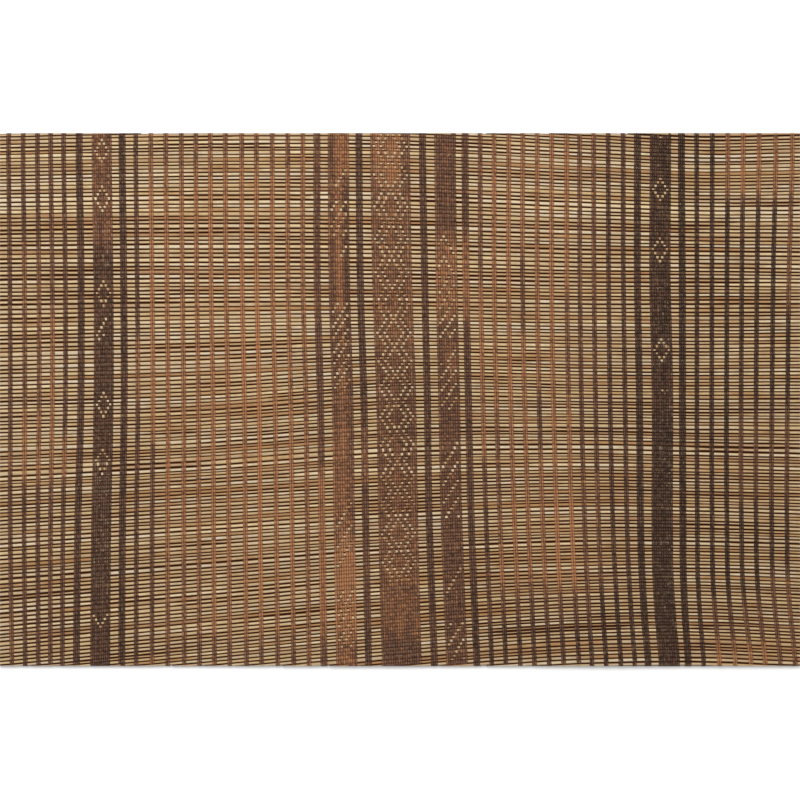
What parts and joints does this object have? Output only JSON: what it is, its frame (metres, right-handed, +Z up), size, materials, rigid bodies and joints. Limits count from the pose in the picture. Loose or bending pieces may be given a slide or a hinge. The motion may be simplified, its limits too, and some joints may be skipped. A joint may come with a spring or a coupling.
{
  "type": "cut length of woven reed and leather mat",
  "caption": "Flat mat of dry reed stems laid side by side, bound crosswise by thin lines and wide patterned bands of woven leather thongs.",
  "frame": {"origin": "under the middle of the mat, on the ground that it lies on", "axes": "+X along the reeds, +Y along the leather lines towards the top edge, +Z up out of the mat's face"},
  "size_m": [0.8, 0.533, 0.0052],
  "materials": {
    "reed": "dry straw, satin",
    "leather_dark": "worn, matt",
    "leather_rust": "worn, matt"
  },
  "bodies": {
    "root": {"edge_thin_01": "leather_dark", "edge_thin_02": "leather_dark", "edge_thin_03": "leather_dark", "edge_thin_04": "leather_dark", "edge_thin_05": "leather_dark", "far_medium": "leather_dark", "far_thin_01": "leather_dark", "far_thin_02": "leather_dark", "far_thin_03": "leather_dark", "far_thin_04": "leather_dark", "far_thin_05": "leather_dark", "far_thin_06": "leather_dark", "far_thin_07": "leather_dark", "inner_medium": "leather_dark", "lattice_band": "leather_rust", "left_band": "leather_dark", "left_medium": "leather_dark", "left_thin_01": "leather_rust", "left_thin_02": "leather_rust", "left_thin_03": "leather_rust", "left_thin_04": "leather_rust", "left_thin_05": "leather_rust", "left_thin_06": "leather_rust", "left_thin_07": "leather_rust", "left_thin_08": "leather_rust", "left_thin_09": "leather_rust", "left_thin_10": "leather_rust", "left_thin_11": "leather_rust", "left_thin_12": "leather_rust", "pattern_medium_1": "leather_dark", "pattern_medium_2": "leather_dark", "pattern_medium_3": "leather_dark", "pattern_medium_4": "leather_dark", "reeds": "reed", "right_band": "leather_dark", "right_medium": "leather_dark", "right_thin_01": "leather_rust", "right_thin_02": "leather_rust", "right_thin_03": "leather_rust", "right_thin_04": "leather_rust", "right_thin_05": "leather_rust", "right_thin_06": "leather_rust", "right_thin_07": "leather_rust", "right_thin_08": "leather_rust", "right_thin_09": "leather_rust", "right_thin_10": "leather_rust", "right_thin_11": "leather_rust", "rust_band": "leather_rust", "zigzag_band": "leather_dark"}
  },
  "joints": []
}
